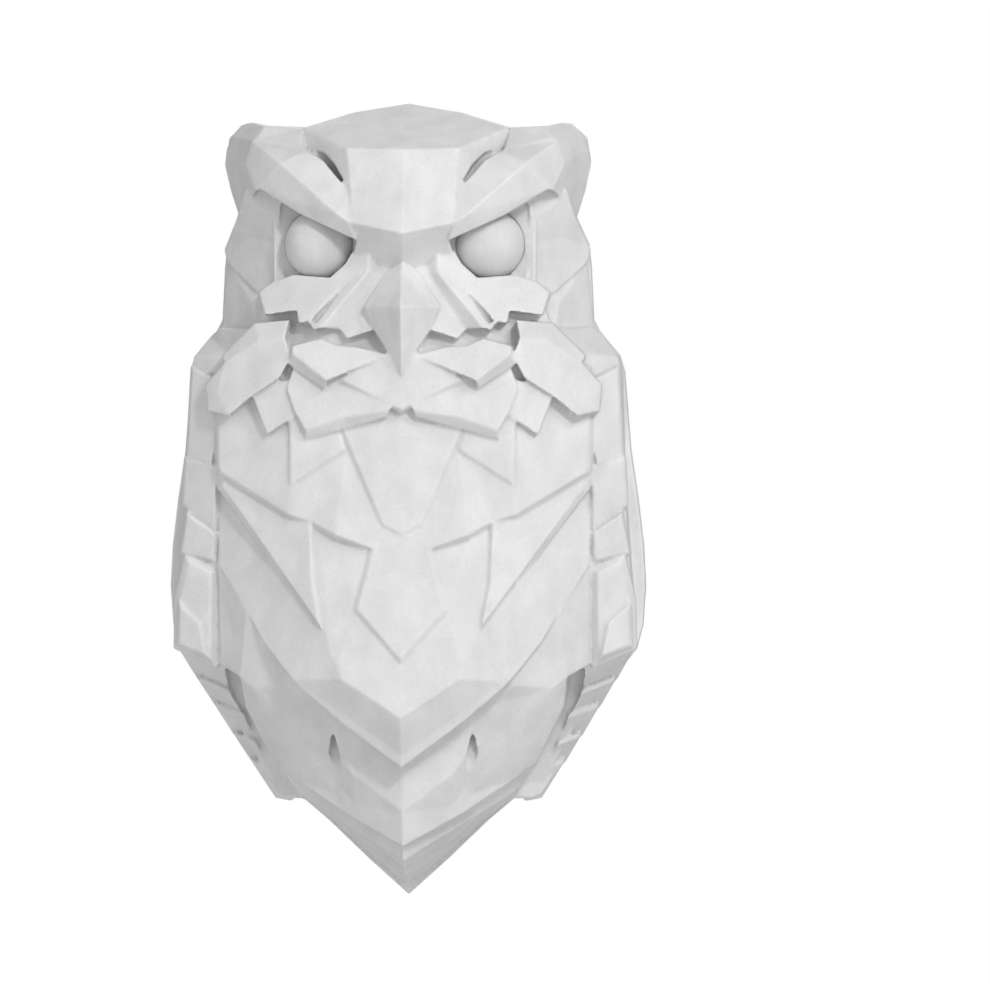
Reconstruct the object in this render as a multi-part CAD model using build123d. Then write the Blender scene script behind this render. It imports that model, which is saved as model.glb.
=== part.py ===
"""Faceted owl wall lamp, a hollow printed shell on a rear frame, with a pull-out light bar behind it.

Millimetres. +Z is up, the owl looks along -Y, and the wall lies on the +Y side.
The origin is the centre of the hanging hole, on the rear frame's back face.

A place on the owl is written (side, out, up): side is the distance from the middle plane, out is how far
it stands out from the frame's back face, and up is the height above the middle of the figure.
"""

import math
import os

from build123d import *

# ---------------------------------------------------------------- driving dimensions
HANG_UP = 76.0  # the hanging hole above the middle of the figure
FRAME_THICKNESS = 3.0
RIM_OUT = 9.0  # the shell's straight rim ends here, and most lumps start here
RIM_WALL = 3.0

EYE_SIDE, EYE_UP, EYE_OUT = 21.4, 64.3, 34.5  # centre of each eye's sphere
EYE_RADIUS = 8.7
EYE_WALL = 1.4
EYE_FLANGE_RADIUS, EYE_FLANGE_THICKNESS = 10.8, 1.5
FACE_CEILING = 23.0  # inside of the shell behind the eyes

BAR_HALF_WIDTH, BAR_HALF_LENGTH = 15.0, 58.0
BAR_BACK, BAR_FRONT = 2.0, 16.0  # out
BAR_WALL = 1.6
BAR_PORT_SIDE, BAR_PORT_OUT, BAR_PORT_RADIUS = 10.9, 6.0, 2.2  # the screw ports along the housing
DIFFUSER_THICKNESS = 2.0
DIFFUSER_HALF_LENGTH = 45.0
MAGNET_RADIUS, MAGNET_THICKNESS, MAGNET_UP = 4.0, 2.0, 49.7
CHIP_ROWS, CHIP_PITCH = 11, 7.6
SWITCH_UP, SWITCH_TRAVEL = -20.0, 4.0
SOCKET_UP = -40.0

CRADLE_WALL = 2.0
CRADLE_GAP = 0.5
CRADLE_WINDOW = (12.5, 44.0)  # half width and half length of the light window
CRADLE_EARS = [(19.6, 45), (-19.6, 45), (19.6, -45), (-19.6, -45)]
FINGER_RADIUS = 9.0

SCREW_RADIUS, SCREW_HEAD_RADIUS, SCREW_HEAD_DEPTH = 1.5, 2.8, 1.7
SHELL_SCREWS = [(34, 70), (-34, 70), (49, 6), (-49, 6), (29, -61), (-29, -61), (0, -83)]
INSERT_RADIUS, INSERT_LENGTH = 2.3, 5.0
BOSS_RADIUS, BOSS_OUT = 4.4, 20.0

HANGER_SCREWS = [(15, 79), (-15, 79)]
HANGER_HALF_WIDTH, HANGER_TOP, HANGER_FOOT = 20.0, 90.0, 69.0
HANGER_THICKNESS = 1.5
HANG_HOLE_RADIUS, HANG_SLOT_RADIUS, HANG_SLOT_RISE = 4.5, 2.2, 8.0
PADS = [(38, 84), (-38, 84), (23, -70), (-23, -70)]
PAD_RADIUS, PAD_THICKNESS = 4.0, 3.0
FIT = 0.05  # a snug fit between pieces of one body

# ---------------------------------------------------------------- outlines, (side, up), from the top down
FRAME_OUTLINE = [
    (0, 99.6), (13.5, 97.2), (25.6, 93.6), (35, 94), (41, 94.6), (45, 91), (46, 85), (44.6, 78),
    (42.4, 71), (45.6, 64), (46.2, 58), (46.8, 45), (48.4, 42), (53.4, 36), (54.6, 32), (56.2, 12),
    (58, 0), (59.4, -12), (59.9, -22), (59.2, -32), (57.6, -38), (52.4, -44.5), (47, -53), (41.5, -61),
    (35.5, -71.5), (33.5, -74.6), (31, -75.6), (26.8, -75.6), (20, -81.4), (10, -91), (0, -100),
]
TAIL_RIM_STEP = 2.2  # how far the frame shows past the shell along the tail
SHELL_OUTLINE = [
    (x, up) if up > -76 else (max(x - 0.6 * TAIL_RIM_STEP, 0), up + TAIL_RIM_STEP)
    for x, up in FRAME_OUTLINE
]


def place(side, out, up):
    """A point of the figure in the row frame."""
    return (side, -out, up - HANG_UP)


def newell_normal(points):
    """Normal of a polygon in space, its length twice the area."""
    total = Vector(0, 0, 0)
    for a, b in zip(points, points[1:] + points[:1]):
        total += Vector(*a).cross(Vector(*b))
    return total


def triangles(ring):
    """Corner triples that fill a polygon, by cutting off ears. Corners are (side, up), anticlockwise."""
    left = list(range(len(ring)))
    cut = []
    while len(left) > 3:
        for i, here in enumerate(left):
            before, after = left[i - 1], left[(i + 1) % len(left)]
            ear = [ring[before], ring[here], ring[after]]
            others = [ring[k] for k in left if k not in (before, here, after)]
            if area_up(ear) > 1e-9 and not any(inside(p, ear) for p in others):
                cut.append((before, here, after))
                left.pop(i)
                break
        else:
            raise ValueError(f"no ear to cut in {ring}")
    return cut + [tuple(left)]


def inside(point, triangle):
    """Whether a point lies in an anticlockwise triangle."""
    return all(area_up([a, b, point]) >= 0 for a, b in zip(triangle, triangle[1:] + triangle[:1]))


def area_up(loop):
    """Signed area of a loop of (side, up) corners, positive when it runs anticlockwise."""
    return sum(a[0] * b[1] - b[0] * a[1] for a, b in zip(loop, loop[1:] + loop[:1])) / 2


def is_flat(points):
    """Whether a polygon in space lies in one plane."""
    normal = newell_normal(points).normalized()
    first = Vector(*points[0])
    return max(abs((Vector(*p) - first).dot(normal)) for p in points) < 1e-6


def polygon(points):
    """One flat face."""
    return Face(Wire.make_polygon([Vector(*p) for p in points], close=True))


def cut_up(points, ring):
    """Rings of names for one facet: itself if it is flat, triangles if it is not."""
    if is_flat([place(*points[n]) for n in ring]):
        return [ring]
    flat = [(points[n][0], points[n][2]) for n in ring]
    return [[ring[i] for i in triple] for triple in triangles(flat)]


def wall(a, b, c, d):
    """Faces for a four-cornered piece of wall: one if it is flat, two triangles if it is not."""
    points = [place(*p) for p in (a, b, c, d)]
    if is_flat(points):
        return [polygon(points)]
    return [polygon(points[:3]), polygon([points[0], points[2], points[3]])]


def rim_loop(faces):
    """The open rim of a sheet of polygons, as one loop of corner names."""
    edges = {(a, b) for f in faces for a, b in zip(f, f[1:] + f[:1])}
    onward = {a: b for a, b in edges if (b, a) not in edges}
    start = min(onward)
    loop = [start]
    while onward[loop[-1]] != start:
        loop.append(onward[loop[-1]])
    return loop


def pushed_out(loop, distance):
    """An anticlockwise loop of (side, up) corners, moved outward along its corner bisectors."""
    moved = []
    for before, here, after in zip(loop[-1:] + loop[:-1], loop, loop[1:] + loop[:1]):
        first = Vector(here[0] - before[0], here[1] - before[1]).normalized()
        second = Vector(after[0] - here[0], after[1] - here[1]).normalized()
        side_a, side_b = Vector(first.Y, -first.X), Vector(second.Y, -second.X)
        bisector = (side_a + side_b).normalized()
        stretch = min(1 / max(bisector.dot(side_a), 0.4), 1.8)
        moved.append((here[0] + bisector.X * distance * stretch, here[1] + bisector.Y * distance * stretch))
    return moved


def lump(points, rings, back, chamfer=None):
    """A closed solid: the front facets, then walls straight back from their rim, and a flat back at `back`.

    points maps a name to (side, out, up). rings are lists of names, anticlockwise from the front.
    chamfer is (width, drop): a sloping border outside the rim, that wide and falling back that far.
    """
    points = {name: (x, max(out, back + 0.4), up) for name, (x, out, up) in points.items()}
    rim = [points[n] for n in rim_loop(rings)]
    skin = [polygon([place(*points[n]) for n in ring]) for ring in rings]
    if chamfer:
        width, drop = chamfer
        moved = pushed_out([(x, up) for x, out, up in rim], width)
        border = [(x, max(out - drop, back + 0.2), up) for (x, up), (_, out, _) in zip(moved, rim)]
        skin += walls(rim, border)
        rim = border
    base = [(x, back, up) for x, out, up in rim]
    skin += walls(rim, base)
    skin.append(polygon([place(*p) for p in reversed(base)]))
    solid = Solid(Shell(skin))
    return solid if solid.volume > 0 else Solid(solid.wrapped.Reversed())


def small_rings(points, faces):
    """Facets given as strings of names, turned anticlockwise and cut up where they are not flat."""
    rings = []
    for names in faces:
        ring = names.split()
        if area_up([(points[n][0], points[n][2]) for n in ring]) < 0:
            ring.reverse()
        rings += cut_up(points, ring)
    return rings


def best_plane(corners):
    """(slope_side, slope_up, middle) of the plane that lies closest to some (side, out, up) corners."""
    count = len(corners)
    mid = [sum(c[k] for c in corners) / count for k in range(3)]
    moved = [(x - mid[0], out - mid[1], up - mid[2]) for x, out, up in corners]
    xx = sum(x * x for x, _, _ in moved) + 1e-6
    uu = sum(u * u for _, _, u in moved) + 1e-6
    xu = sum(x * u for x, _, u in moved)
    xo = sum(x * o for x, o, _ in moved)
    uo = sum(u * o for _, o, u in moved)
    det = xx * uu - xu * xu
    return (xo * uu - uo * xu) / det, (uo * xx - xo * xu) / det, mid


def evened(points, faces, hold=0.1, rounds=150):
    """The same points, moved in or out a little so that facets with four or more corners are nearly flat."""
    start = {name: p[1] for name, p in points.items()}
    rings = [names.split() for names in faces]
    moved = dict(points)
    for _ in range(rounds):
        wanted = {name: [start[name] * hold] for name in moved}
        weight = {name: hold for name in moved}
        for ring in rings:
            slope_side, slope_up, mid = best_plane([moved[n] for n in ring])
            share = 1.0 if len(ring) > 3 else 0.1
            for n in ring:
                x, _, up = moved[n]
                level = mid[1] + slope_side * (x - mid[0]) + slope_up * (up - mid[2])
                wanted[n].append(level * share)
                weight[n] += share
        moved = {n: (x, sum(wanted[n]) / weight[n], up) for n, (x, _, up) in moved.items()}
    return moved


def walls(upper, lower):
    """Wall faces between two loops of corners."""
    pairs = zip(upper, upper[1:] + upper[:1], lower, lower[1:] + lower[:1])
    return [f for a, b, c, d in pairs for f in wall(b, a, c, d)]


def both_sides(points, faces, back, chamfer=None):
    """The same lump on the right and on the left."""
    points = evened(points, faces)
    right = lump(points, small_rings(points, faces), back, chamfer)
    return [right, right.mirror(Plane.YZ)]


def across(points, faces, back, chamfer=None):
    """A lump over the middle plane, from the facets of its right half. Middle corners have side 0."""
    points = evened(points, faces)
    rings = small_rings(points, faces)
    twin = {n: n if p[0] == 0 else n + "_left" for n, p in points.items()}
    every = dict(points)
    every.update({twin[n]: (-x, out, up) for n, (x, out, up) in points.items() if x != 0})
    other = [[twin[n] for n in reversed(ring)] for ring in rings]
    return [lump(every, rings + other, back, chamfer)]


def whole(half):
    """A closed loop from its right half, listed from the top down."""
    return half + [(-x, up) for x, up in reversed(half) if x > 0]


def slab(half, out_from, out_to):
    """A flat plate whose outline has this right half."""
    loop = whole(half)
    if area_up(loop) < 0:
        loop.reverse()
    return frustum(loop, out_from, loop, out_to)


def frustum(low, low_out, high, high_out):
    """A solid between two loops with matching corners, anticlockwise from the front."""
    bottom = [(x, low_out, up) for x, up in low]
    top = [(x, high_out, up) for x, up in high]
    skin = walls(top, bottom)
    skin.append(polygon([place(*p) for p in top]))
    skin.append(polygon([place(*p) for p in reversed(bottom)]))
    solid = Solid(Shell(skin))
    return solid if solid.volume > 0 else Solid(solid.wrapped.Reversed())


def block(side_from, side_to, out_from, out_to, up_from, up_to):
    """A box between two opposite corners."""
    size = (side_to - side_from, out_to - out_from, up_to - up_from)
    middle = place((side_from + side_to) / 2, (out_from + out_to) / 2, (up_from + up_to) / 2)
    return Pos(*middle) * Box(*size)


def bar_block(half_width, out_from, out_to, half_length):
    """A box centred on the light bar's axis."""
    return block(-half_width, half_width, out_from, out_to, -half_length, half_length)


def rod(side, up, out_from, out_to, radius):
    """A round rod that runs out from the wall."""
    middle = place(side, (out_from + out_to) / 2, up)
    return Pos(*middle) * Rot(90, 0, 0) * Cylinder(radius, out_to - out_from)


def post(side, out, up_from, up_to, radius):
    """A round rod that runs up."""
    return Pos(*place(side, out, (up_from + up_to) / 2)) * Cylinder(radius, up_to - up_from)


def countersink(side, up, out, radius, depth):
    """The cone of a flat-headed screw, widest at `out` and narrowing away from the wall."""
    middle = place(side, out + depth / 2, up)
    return Pos(*middle) * Rot(90, 0, 0) * Cone(radius, radius - depth, depth)


def joined(solids):
    """One shape from several that touch or overlap."""
    total = solids[0]
    for solid in solids[1:]:
        total = total.fuse(solid)
    return total


def several(solids):
    """Separate solids kept together as one piece."""
    return Compound(children=list(solids))


# ---------------------------------------------------------------- the head
INNER = 8.0  # lumps that nothing behind them shows end here, inside the rim


def skull():
    """Flat crown, forehead with its middle ridge, and the underside between the brows."""
    points = {
        "peak": (0, 10, 99.6), "crown_back": (13.5, 16, 97.4), "crown_side": (25.6, 28, 93.6),
        "crown_corner": (14.2, 43.5, 88.7), "crown_front": (0, 46, 88.4),
        "groove_a": (27, 28, 87.5), "groove_b": (21.5, 29, 84), "groove_c": (16.5, 41.5, 75),
        "lip_a": (25, 30.8, 89), "lip_b": (18.9, 38, 86.4),
        "temple": (12.9, 47, 77), "ridge_top": (0, 48, 85), "fold": (9, 49, 79.5),
        "brow_in": (13.6, 50.8, 70.2), "brow_mid": (0, 56, 67.4),
        "under_out": (11.6, 47, 65.6), "under_low": (12.6, 42, 61.2), "under_side": (6.4, 46, 60.5),
        "under_foot": (4.4, 44, 57), "bridge": (0, 48.5, 60.2), "bridge_foot": (0, 45, 57),
    }
    faces = [
        "peak crown_back crown_side crown_corner crown_front",
        "crown_corner crown_side groove_a lip_a lip_b temple",
        "lip_a groove_a groove_b lip_b",
        "lip_b groove_b groove_c temple",
        "crown_front crown_corner temple fold ridge_top",
        "ridge_top fold temple brow_in brow_mid",
        "temple groove_c brow_in",
        "brow_mid brow_in under_out under_low under_side bridge",
        "bridge under_side under_foot bridge_foot",
    ]
    return across(points, faces, RIM_OUT)


def brow_and_ear():
    """The heavy brow that runs out and up into the ear tuft."""
    points = {
        "top_in": (26.4, 27, 93.4), "top_a": (35.3, 23.5, 94.1), "top_b": (39.2, 22, 94.9),
        "top_c": (41.8, 17, 94.2), "top_d": (44.2, 12.5, 91.4), "tip": (45.6, 10.5, 88),
        "back_a": (46.2, 10, 84), "back_b": (44.8, 10.5, 78), "back_c": (42.4, 11, 71),
        "u_in": (27.1, 28, 92.8), "u_out": (33.6, 29.5, 91.6), "valley_in": (25.2, 33.5, 88.4),
        "valley_out": (36.7, 31, 91.3), "crest": (38.4, 33.5, 90.2), "ridge_out": (35.6, 39, 88.4),
        "ridge_mid": (31.1, 44.3, 85), "ridge_in": (16.4, 51.4, 72.2), "edge_a": (26.9, 40, 87.2),
        "edge_b": (24.2, 40, 87.6), "edge_c": (20.4, 41.5, 86.2), "edge_d": (17.2, 44, 82.4),
        "edge_e": (12.9, 47.4, 77), "ear_side": (40.2, 31, 84.8), "ear_front": (38, 37, 79.5),
        "fork": (36, 40.6, 79.6), "low_out": (36, 38, 78.2), "low_back": (37.4, 36.4, 78),
        "strip_a": (29.8, 40.6, 76.1), "strip_b": (22.4, 45.6, 73.8), "low_a": (26, 42.2, 72.1),
        "low_b": (20.2, 46.4, 69.4), "low_in": (11.6, 49, 65.6), "joint": (13.6, 51.2, 70.2),
    }
    faces = [
        "top_in top_a valley_out u_out u_in",
        "u_in u_out valley_in",
        "top_in u_in valley_in",
        "valley_in u_out valley_out crest ridge_out ridge_mid edge_a edge_b",
        "top_a top_b top_c top_d crest valley_out",
        "top_d tip ear_side crest",
        "tip back_a back_b back_c low_back ear_front ear_side",
        "crest ear_side ear_front ridge_out",
        "ridge_out ear_front fork ridge_mid",
        "fork ear_front low_back low_out",
        "edge_b edge_a ridge_mid ridge_in edge_e edge_d edge_c",
        "ridge_mid fork low_out strip_a strip_b ridge_in",
        "low_out low_a low_b ridge_in strip_b strip_a",
        "low_b low_in joint ridge_in",
        "edge_e ridge_in joint",
    ]
    return both_sides(points, faces, RIM_OUT)


def face_disc():
    """The sunken floor round each eye, and the planes beside it out to the side of the head."""
    floor = {"top_in": (9, 29, 74), "top": (33, 32.6, 80), "low": (33, 31.4, 55), "low_in": (9, 29, 55)}
    points = {
        "top": (30.5, 33.5, 80), "top_out": (40.6, 27.5, 78), "thin": (36.5, 31.5, 73),
        "side_a": (42.6, 23, 71), "side_b": (45.5, 12.5, 64.3), "side_c": (46.2, 12, 62.8),
        "side_d": (45.4, 14, 59.7), "mid": (39, 24.5, 66), "inner_top": (31.5, 31, 71),
        "inner": (31.6, 29.6, 66.5), "notch": (33, 28.6, 64.6), "ridge": (31.2, 32, 61.6),
        "ridge_mid": (37.5, 26, 60.8), "low": (30.4, 30.5, 55), "low_out": (37.2, 26.5, 52),
        "corner": (43.6, 16.5, 57.8),
    }
    faces = [
        "top thin inner_top",
        "top top_out thin",
        "thin top_out side_a mid notch inner inner_top",
        "side_a side_b side_c mid",
        "mid side_c side_d ridge_mid ridge notch",
        "ridge ridge_mid side_d corner low_out low",
    ]
    return both_sides(floor, ["top_in top low low_in"], RIM_OUT) + both_sides(points, faces, RIM_OUT)


def eye_corner():
    """The floor of the dark corner between each eye and the bridge of the beak."""
    points = {"top_in": (9, 41, 73), "top": (17, 34, 73), "foot": (16, 34, 57), "foot_in": (9, 41, 57)}
    return both_sides(points, ["top_in top foot foot_in"], RIM_OUT)


def jowl():
    """The side of the head below the face disc."""
    points = {
        "top": (45.3, 12.5, 60), "side": (46, 12, 51.6), "foot": (46.9, 12, 42),
        "foot_in": (37.8, 26, 43.5), "fold": (38.5, 24.5, 49.5), "corner": (43.5, 15.5, 57.6),
        "pit_top": (36, 25, 53), "pit_mid": (40.8, 20, 52.4), "pit_foot": (33, 26, 43),
    }
    faces = [
        "top corner pit_mid fold foot_in side",
        "side foot_in foot",
        "corner pit_top pit_mid",
        "pit_mid pit_top fold",
        "pit_top pit_foot foot_in fold",
    ]
    return both_sides(points, faces, RIM_OUT)


def whiskers():
    """The cheek feathers that flare out below the eyes and end in steps."""
    points = {
        "outer": (36.6, 34.5, 52.3), "rim_a": (33, 36, 55), "rim_b": (27.6, 39, 56.7),
        "rim_c": (18.5, 42, 56), "rim_d": (14.6, 43, 59.5), "root_a": (12.8, 43.5, 62.6),
        "root_b": (8.6, 46, 61.6), "root_c": (6.2, 45, 60.8), "root_d": (2.5, 43, 59.5),
        "end_a": (34.9, 43, 46.7), "end_b": (26.6, 48.5, 47.9), "end_c": (26.3, 49, 44.8),
        "end_d": (23.6, 46.2, 45), "end_e": (22.3, 48.2, 43), "end_f": (20.4, 51.6, 43.6),
        "end_g": (15.9, 47, 43.2), "end_h": (14, 51.8, 40.8), "end_i": (6, 52.4, 43.4),
        "fold_a": (13.2, 44.6, 55.4), "fold_b": (8.6, 49.4, 57.8), "fold_c": (6.6, 45.6, 57),
    }
    faces = [
        "outer rim_a rim_b rim_c rim_d fold_a end_d end_c end_b end_a",
        "rim_d root_a root_b fold_b fold_a",
        "fold_a fold_b end_f end_e end_d",
        "root_b root_c fold_c fold_b",
        "fold_b fold_c end_g end_f",
        "root_c root_d end_i end_h end_g fold_c",
    ]
    return both_sides(points, faces, INNER)


def beak():
    """The hooked beak, sharpest across its middle."""
    points = {
        "root": (0, 46.5, 60.6), "upper": (4.3, 48.5, 57), "side": (9.6, 51.5, 49),
        "middle": (0, 65, 49), "lower": (7, 52, 43), "near_tip": (3.8, 53.5, 38), "tip": (0, 57.5, 31.8),
    }
    return across(points, ["root upper side middle", "middle side lower near_tip tip"], INNER)


def cheek_core():
    """What lies deep between the whiskers, the jowl and the collar."""
    points = {
        "top_in": (0, 44, 57), "top_mid": (13, 43, 55), "top_out": (33, 31, 54.5), "out": (36.5, 36, 45),
        "low_out": (42, 37, 34), "low_mid": (26, 47.4, 34), "in": (0, 50.5, 34),
    }
    return across(points, ["top_in top_mid low_mid in", "top_mid top_out out low_out low_mid"], RIM_OUT)


# ---------------------------------------------------------------- the neck feathers
def collar():
    """Overlapping flat feathers below the head, the lowest edges sloping back."""
    throat = {
        "foot": (0, 57.2, 23.2), "side": (15, 55.4, 30.5), "top_side": (10, 54.8, 35),
        "top": (0, 55.4, 37),
    }
    front = {
        "in": (3.2, 55, 36.8), "foot": (18.7, 58.4, 30.5), "out": (27.5, 55.8, 37.2),
        "out_low": (28.2, 52.4, 34.2), "foot_low": (19.2, 55.2, 28.4), "top_a": (27.6, 54.4, 39),
        "top_b": (20.3, 54.4, 40.9), "top_c": (16.6, 54.2, 39.2), "top_d": (11, 54.4, 38.7),
    }
    front_faces = ["in foot out top_a top_b top_c top_d", "foot foot_low out_low out"]
    second = {
        "out_top": (29, 52.6, 28.2), "out": (27, 53.6, 22.6), "foot": (24.2, 54.8, 17.9),
        "low": (14.5, 56.8, 21.3), "in": (3, 57.6, 23), "in_top": (1.5, 55.8, 26), "top": (15, 53.4, 34),
        "top_out": (27.5, 51.6, 33), "foot_low": (24.4, 52.4, 15.6), "mid_low": (13, 54.4, 18.6),
        "in_low": (3.6, 56.2, 21.4),
    }
    second_faces = [
        "out_top out foot low in in_top top top_out", "foot foot_low mid_low low", "low mid_low in_low in",
    ]
    small = {
        "in": (27.2, 52.6, 21.2), "foot": (34, 50.4, 16.8), "out": (37.4, 48.6, 25.7),
        "top_out": (33, 49.6, 29.8), "top_in": (28, 51.4, 30.5),
    }
    shoulder = {
        "in": (27.9, 53, 36.4), "in_low": (30.8, 53, 31), "low_a": (38.3, 50.4, 26.1),
        "low_b": (43.8, 47.6, 21.5), "tip": (49.2, 42, 22.6), "out": (49.8, 40, 29),
        "fold": (44.8, 45.4, 34.8), "ridge": (36.2, 49.2, 40.4), "top_in": (29.5, 50.6, 41),
        "band_out": (45.8, 42, 36.3), "band_in": (37.4, 44.8, 44.6), "hid": (28.5, 46, 45.4),
        "edge": (46.6, 44.2, 27.5),
    }
    shoulder_faces = [
        "in in_low low_a low_b edge fold ridge top_in", "low_b tip out fold edge",
        "ridge fold band_out band_in", "top_in ridge band_in hid",
    ]
    return (
        across(throat, ["foot side top_side top"], 44, (0.7, 1.2))
        + both_sides(front, front_faces, 40)
        + both_sides(second, second_faces, 40)
        + both_sides(small, ["in foot out top_out top_in"], 40)
        + both_sides(shoulder, shoulder_faces, 28)
    )


# ---------------------------------------------------------------- breast, belly and tail
def breast():
    """The upper breast, a shield with an hourglass of folds in its middle."""
    points = {
        "top": (0, 50, 38), "top_out": (28, 49, 38), "corner": (46, 38, 33),
        "side_top": (46.6, 41.5, 20), "side": (46.4, 42.5, 8.5), "end": (45.8, 43.5, 7.3),
        "low_a": (28.5, 53.4, -3.2), "low_b": (22.8, 54.6, -4.9), "low_c": (16.5, 58, -8.3),
        "low_d": (6.2, 58.2, -12), "low_e": (4.6, 57, -9.6), "centre": (0, 57.6, -9),
        "waist": (4.4, 56.8, -6.4), "fold_a": (14.8, 51.6, 17), "fold_b": (14.2, 52.6, 12.3),
        "throat": (0, 53, 20), "seam_foot": (27.8, 51.8, 4.6), "seam_top": (27.8, 50.6, 20),
        "fold_c": (19, 52.4, 6.8),
    }
    faces = [
        "top throat fold_a seam_top top_out",
        "throat centre waist fold_b fold_a",
        "centre low_e waist",
        "fold_b waist low_e low_d low_c",
        "fold_b low_c low_b fold_c",
        "fold_b fold_c low_b low_a seam_foot",
        "fold_a fold_b seam_foot seam_top",
        "seam_top seam_foot low_a end side side_top",
        "top_out seam_top side_top corner",
    ]
    bib = {
        "top": (0, 53.2, 27), "top_out": (17, 52.8, 23), "fold": (14, 53, 16.4),
        "waist": (4.6, 57.4, -5.6),
        "foot": (0, 57.8, -8),
    }
    facet = {"top": (16.5, 52.7, 20), "foot": (28, 53, 4.4), "side": (28, 51.7, 23), "in": (14.6, 53.4, 13)}
    return (
        across(points, faces, INNER, (0.9, 1.8))
        + across(bib, ["top top_out fold waist foot"], 44, (0.6, 0.9))
        + both_sides(facet, ["top in foot side"], 44, (0.5, 0.8))
    )


def belly():
    """The belly, forward of everything but the beak, down to the point of the first chevron."""
    points = {
        "top": (0, 53, 0), "top_in": (23, 51, 0), "top_out": (46.4, 35, 10),
        "side": (46.6, 36, -16.3), "flank_a": (39.2, 45, -27.8), "flank_b": (33.3, 50.5, -24.6),
        "hip": (35, 50, -35.3), "hip_low": (27.8, 55.4, -44.3), "fang_foot": (20.5, 57.6, -31),
        "under": (26, 52.2, -10), "crease": (22.6, 52.8, -3), "inner": (6.3, 56.2, -10),
        "dagger_a": (22, 58, -20), "dagger_b": (19.6, 57.8, -31), "dagger_c": (18.4, 59.8, -24),
        "dagger_d": (17.6, 61, -38.5), "kite": (10.8, 60, -27), "fold": (15.6, 62, -39.5),
        "kite_foot": (0, 62.6, -39.8), "prow": (0, 64.8, -54), "brim_a": (14.9, 62.8, -44.3),
        "brim_b": (23.8, 58.2, -44.9), "band_a": (23.6, 56.7, -46.8), "band_b": (0, 58.9, -63.4),
        "edge_a": (25.3, 56.3, -46.8), "edge_b": (21.4, 56.6, -50.2), "edge_c": (15, 57.1, -55.6),
        "edge_d": (0, 58.5, -66.7),
    }
    faces = [
        "top top_in crease inner",
        "top_in top_out under crease",
        "top_out side flank_a flank_b under",
        "flank_b flank_a hip fang_foot under",
        "crease under fang_foot dagger_b dagger_a",
        "crease dagger_a dagger_c dagger_d fold kite inner",
        "dagger_a dagger_b dagger_d dagger_c",
        "top inner kite kite_foot",
        "dagger_b fang_foot hip hip_low brim_b brim_a fold dagger_d",
        "kite fold kite_foot",
        "kite_foot fold brim_a prow",
        "prow brim_a brim_b band_a band_b",
        "brim_b hip_low edge_a band_a",
        "band_a edge_a edge_b edge_c edge_d band_b",
    ]
    return across(points, faces, INNER)


def belly_plates():
    """The kite in the middle of the belly, and the long fang-shaped plate on each side of it."""
    kite = {
        "top": (0, 56, -3), "side_top": (6.2, 57.4, -9), "side": (10.8, 61, -26.8),
        "foot": (0, 63.6, -39.2),
    }
    fang = {
        "outer": (45.7, 41.6, 6.5), "inner": (23, 53.8, -3), "fold": (22.4, 58.2, -20),
        "foot": (20.4, 60, -31),
        "low_out": (45.4, 41, 3.4),
    }
    return across(kite, ["top side_top side foot"], 45, (0.8, 0.9)) + both_sides(
        fang, ["outer inner fold foot low_out"], 30, (1.3, 2.2)
    )


def lower_body():
    """The narrow flanks beside the belly, the second chevron, and the planes that run back from both."""
    points = {
        "crest": (0, 50.2, -60), "keel": (0, 52, -78), "keel_foot": (0, 46, -86.8),
        "over": (12, 47.5, -52),
        "root_a": (17.6, 48, -52), "root_b": (17.2, 47, -57.5), "root_c": (15.4, 46.8, -64.5),
        "root_d": (12.8, 47.4, -68.4), "low_a": (12.2, 43.8, -76.4), "slot_a": (15.4, 40.5, -72),
        "slot_b": (17, 39, -73.6), "slot_c": (18.9, 43.4, -63), "hid": (24, 53.8, -42),
        "flank_top": (46.6, 36.5, -15), "knee": (39.6, 44.6, -27.5), "hid_hip": (34, 48.2, -34),
        "fold": (40.4, 43.6, -38.5), "flank_out": (46.5, 34.4, -41.2), "waist_c": (30, 50.2, -46.2),
        "waist_a": (28.6, 50.8, -46.7), "waist_b": (37.4, 45.6, -47.2), "break": (30.4, 44.6, -53.8),
        "break_low": (26.4, 41.6, -60.2), "turn": (41, 43.2, -44.3), "in_a": (37.8, 35, -52),
        "in_b": (31, 31, -66), "out_a": (39.9, 34, -52), "out_b": (33, 29.5, -66),
        "end": (27.2, 31.5, -70.4),
        "low_b": (15, 40, -78.5),
    }
    faces = [
        "crest over root_a root_b root_c root_d keel",
        "keel root_d low_a",
        "keel low_a slot_a slot_b end low_b keel_foot",
        "root_c slot_a low_a root_d",
        "root_b slot_c slot_b slot_a root_c",
        "root_a hid waist_a waist_c waist_b break break_low slot_c root_b",
        "knee hid_hip hid waist_a waist_c waist_b turn fold",
        "flank_top knee fold turn flank_out",
        "waist_b in_a in_b end slot_b slot_c break_low break",
        "waist_b turn out_a in_a",
        "in_a out_a out_b in_b",
        "in_b out_b end",
    ]
    return across(points, faces, INNER)


def tail():
    """The last feather's front edge, and the steep underside that runs back to the rim."""
    points = {
        "hid": (0, 43, -82), "hid_out": (29, 29, -66), "point": (0, 41.5, -90.5),
        "edge_a": (5, 40, -87.3),
        "edge_b": (15, 35, -81.2), "edge_c": (27.4, 27, -73.4), "side": (32.5, 27, -66.5),
        "rim_a": (0, 10, -97.8), "rim_b": (10, 10, -89.2), "rim_c": (19.4, 10, -80.4),
        "rim_d": (26.6, 10, -75.2),
    }
    faces = [
        "hid hid_out side edge_c edge_b edge_a point",
        "point edge_a rim_b rim_a",
        "edge_a edge_b rim_c rim_b",
        "edge_b edge_c rim_d rim_c",
    ]
    return across(points, faces, RIM_OUT)


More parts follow.
